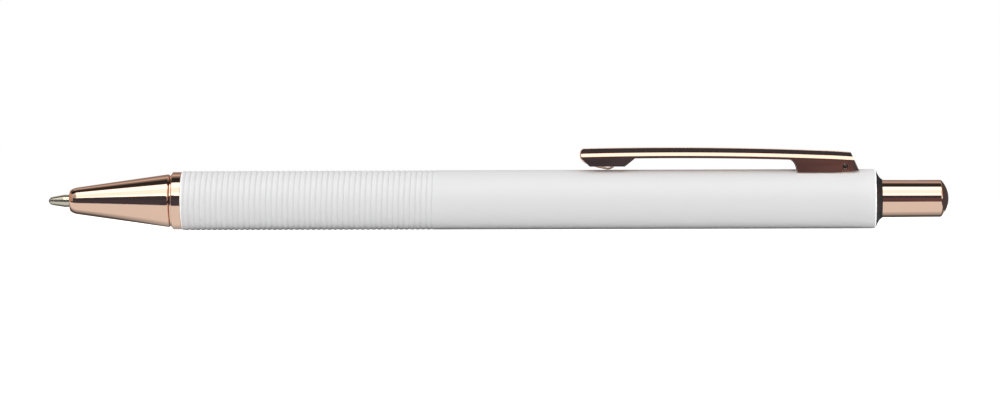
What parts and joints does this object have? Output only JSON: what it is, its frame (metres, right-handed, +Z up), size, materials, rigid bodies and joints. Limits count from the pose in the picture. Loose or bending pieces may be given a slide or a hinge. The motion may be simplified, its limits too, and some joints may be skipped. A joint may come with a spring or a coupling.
{
  "type": "retractable ballpoint pen",
  "caption": "Slim click ballpoint pen: white metal barrel with a ribbed grip, rose-gold nose cone, push button and hinged sprung clip, shown with its point out.",
  "frame": {"origin": "under the middle of the pen's length, on the surface that the barrel rests on", "axes": "+X from the writing point to the push button, +Z up through the clip, Y across the pen"},
  "size_m": [0.14, 0.0092, 0.0126],
  "materials": {
    "white_lacquer": "gloss lacquer",
    "rose_gold_plate": "polished rose-gold plating",
    "black_acetal": "moulded, satin",
    "nickel_silver": "turned",
    "tungsten_carbide": "ground and polished",
    "brass": "turned",
    "spring_steel": "drawn",
    "clear_polypropylene": "extruded, clear",
    "white_acetal": "moulded",
    "blue_ink": "liquid",
    "follower_grease": "clear gel"
  },
  "bodies": {
    "barrel": {"barrel": "white_lacquer", "trim_ring": "rose_gold_plate", "front_bush": "brass", "end_cone": "black_acetal", "cam_sleeve": "white_acetal", "clip_bracket": "rose_gold_plate", "clip_spring": "spring_steel"},
    "nose": {"nose_cone": "rose_gold_plate", "return_spring": "spring_steel"},
    "refill": {"refill_tube": "clear_polypropylene", "point_holder": "white_acetal", "refill_point": "nickel_silver", "writing_ball": "tungsten_carbide", "ink_column": "blue_ink", "ink_follower": "follower_grease"},
    "rotor": {"cam_rotor": "white_acetal"},
    "button": {"push_button": "rose_gold_plate", "button_plunger": "black_acetal"},
    "clip": {"clip": "rose_gold_plate", "clip_pin": "spring_steel"}
  },
  "joints": [
    {"name": "button_slide", "type": "slide", "parent": "barrel", "child": "button", "axis": [1, 0, 0], "range_m": [-0.0012, 0.005], "stiffness_N_per_m": 300},
    {"name": "refill_slide", "type": "slide", "parent": "barrel", "child": "refill", "axis": [1, 0, 0], "range_m": [-0.0012, 0.005], "deforming": ["return_spring"]},
    {"name": "rotor_turn", "type": "hinge", "parent": "refill", "child": "rotor", "pos_m": [0.0413, 0, 0.00458], "axis": [1, 0, 0], "continuous": true},
    {"name": "clip_hinge", "type": "hinge", "parent": "barrel", "child": "clip", "pos_m": [0.05395, 0, 0.00958], "axis": [0, 1, 0], "range_deg": [0, 4.5], "stiffness_Nm_per_rad": 1, "springref_deg": -5.73},
    {"name": "nose_unscrew", "type": "slide", "parent": "barrel", "child": "nose", "axis": [1, 0, 0], "range_m": [-0.028, 0]}
  ],
  "couplings": [
    {"joint": "refill_slide", "follows": "button_slide", "ratio": 1}
  ]
}
